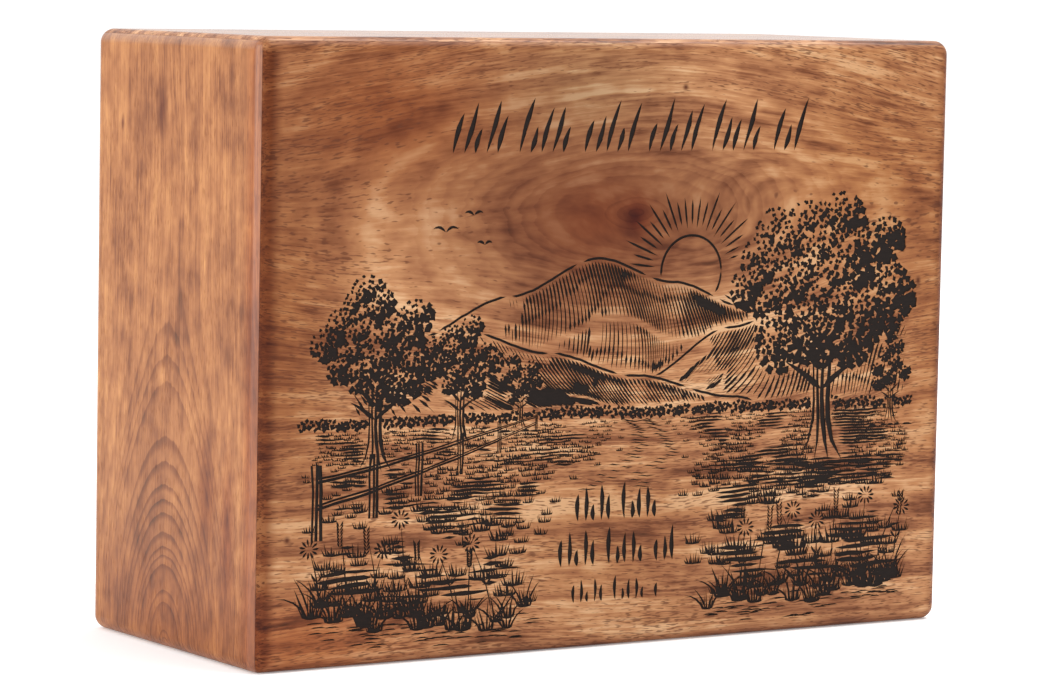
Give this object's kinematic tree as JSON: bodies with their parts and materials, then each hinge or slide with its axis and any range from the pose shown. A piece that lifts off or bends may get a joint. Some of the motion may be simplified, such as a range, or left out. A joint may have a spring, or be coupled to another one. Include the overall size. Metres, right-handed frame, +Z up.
{
  "type": "cremation urn box",
  "caption": "Rectangular hardwood urn box with mitred boards, rounded edges, an engraved front and a loose bottom panel held by countersunk screws.",
  "frame": {"origin": "under the middle of the box, on the surface that it stands on", "axes": "+Z up, -Y out of the engraved front, +X to the right seen from the front"},
  "size_m": [0.258, 0.106, 0.19],
  "materials": {
    "face_grain_wood": "satin lacquer over figured hardwood",
    "upright_grain_wood": "satin lacquer over figured hardwood",
    "panel_wood": "thin matt lacquer",
    "screw_steel": "nickel-plated"
  },
  "bodies": {
    "root": {"front_board": "face_grain_wood", "back_board": "face_grain_wood", "top_board": "face_grain_wood", "left_side_board": "upright_grain_wood", "right_side_board": "upright_grain_wood", "bottom_panel": "panel_wood", "panel_screw_1": "screw_steel", "panel_screw_2": "screw_steel", "panel_screw_3": "screw_steel", "panel_screw_4": "screw_steel"}
  },
  "joints": []
}
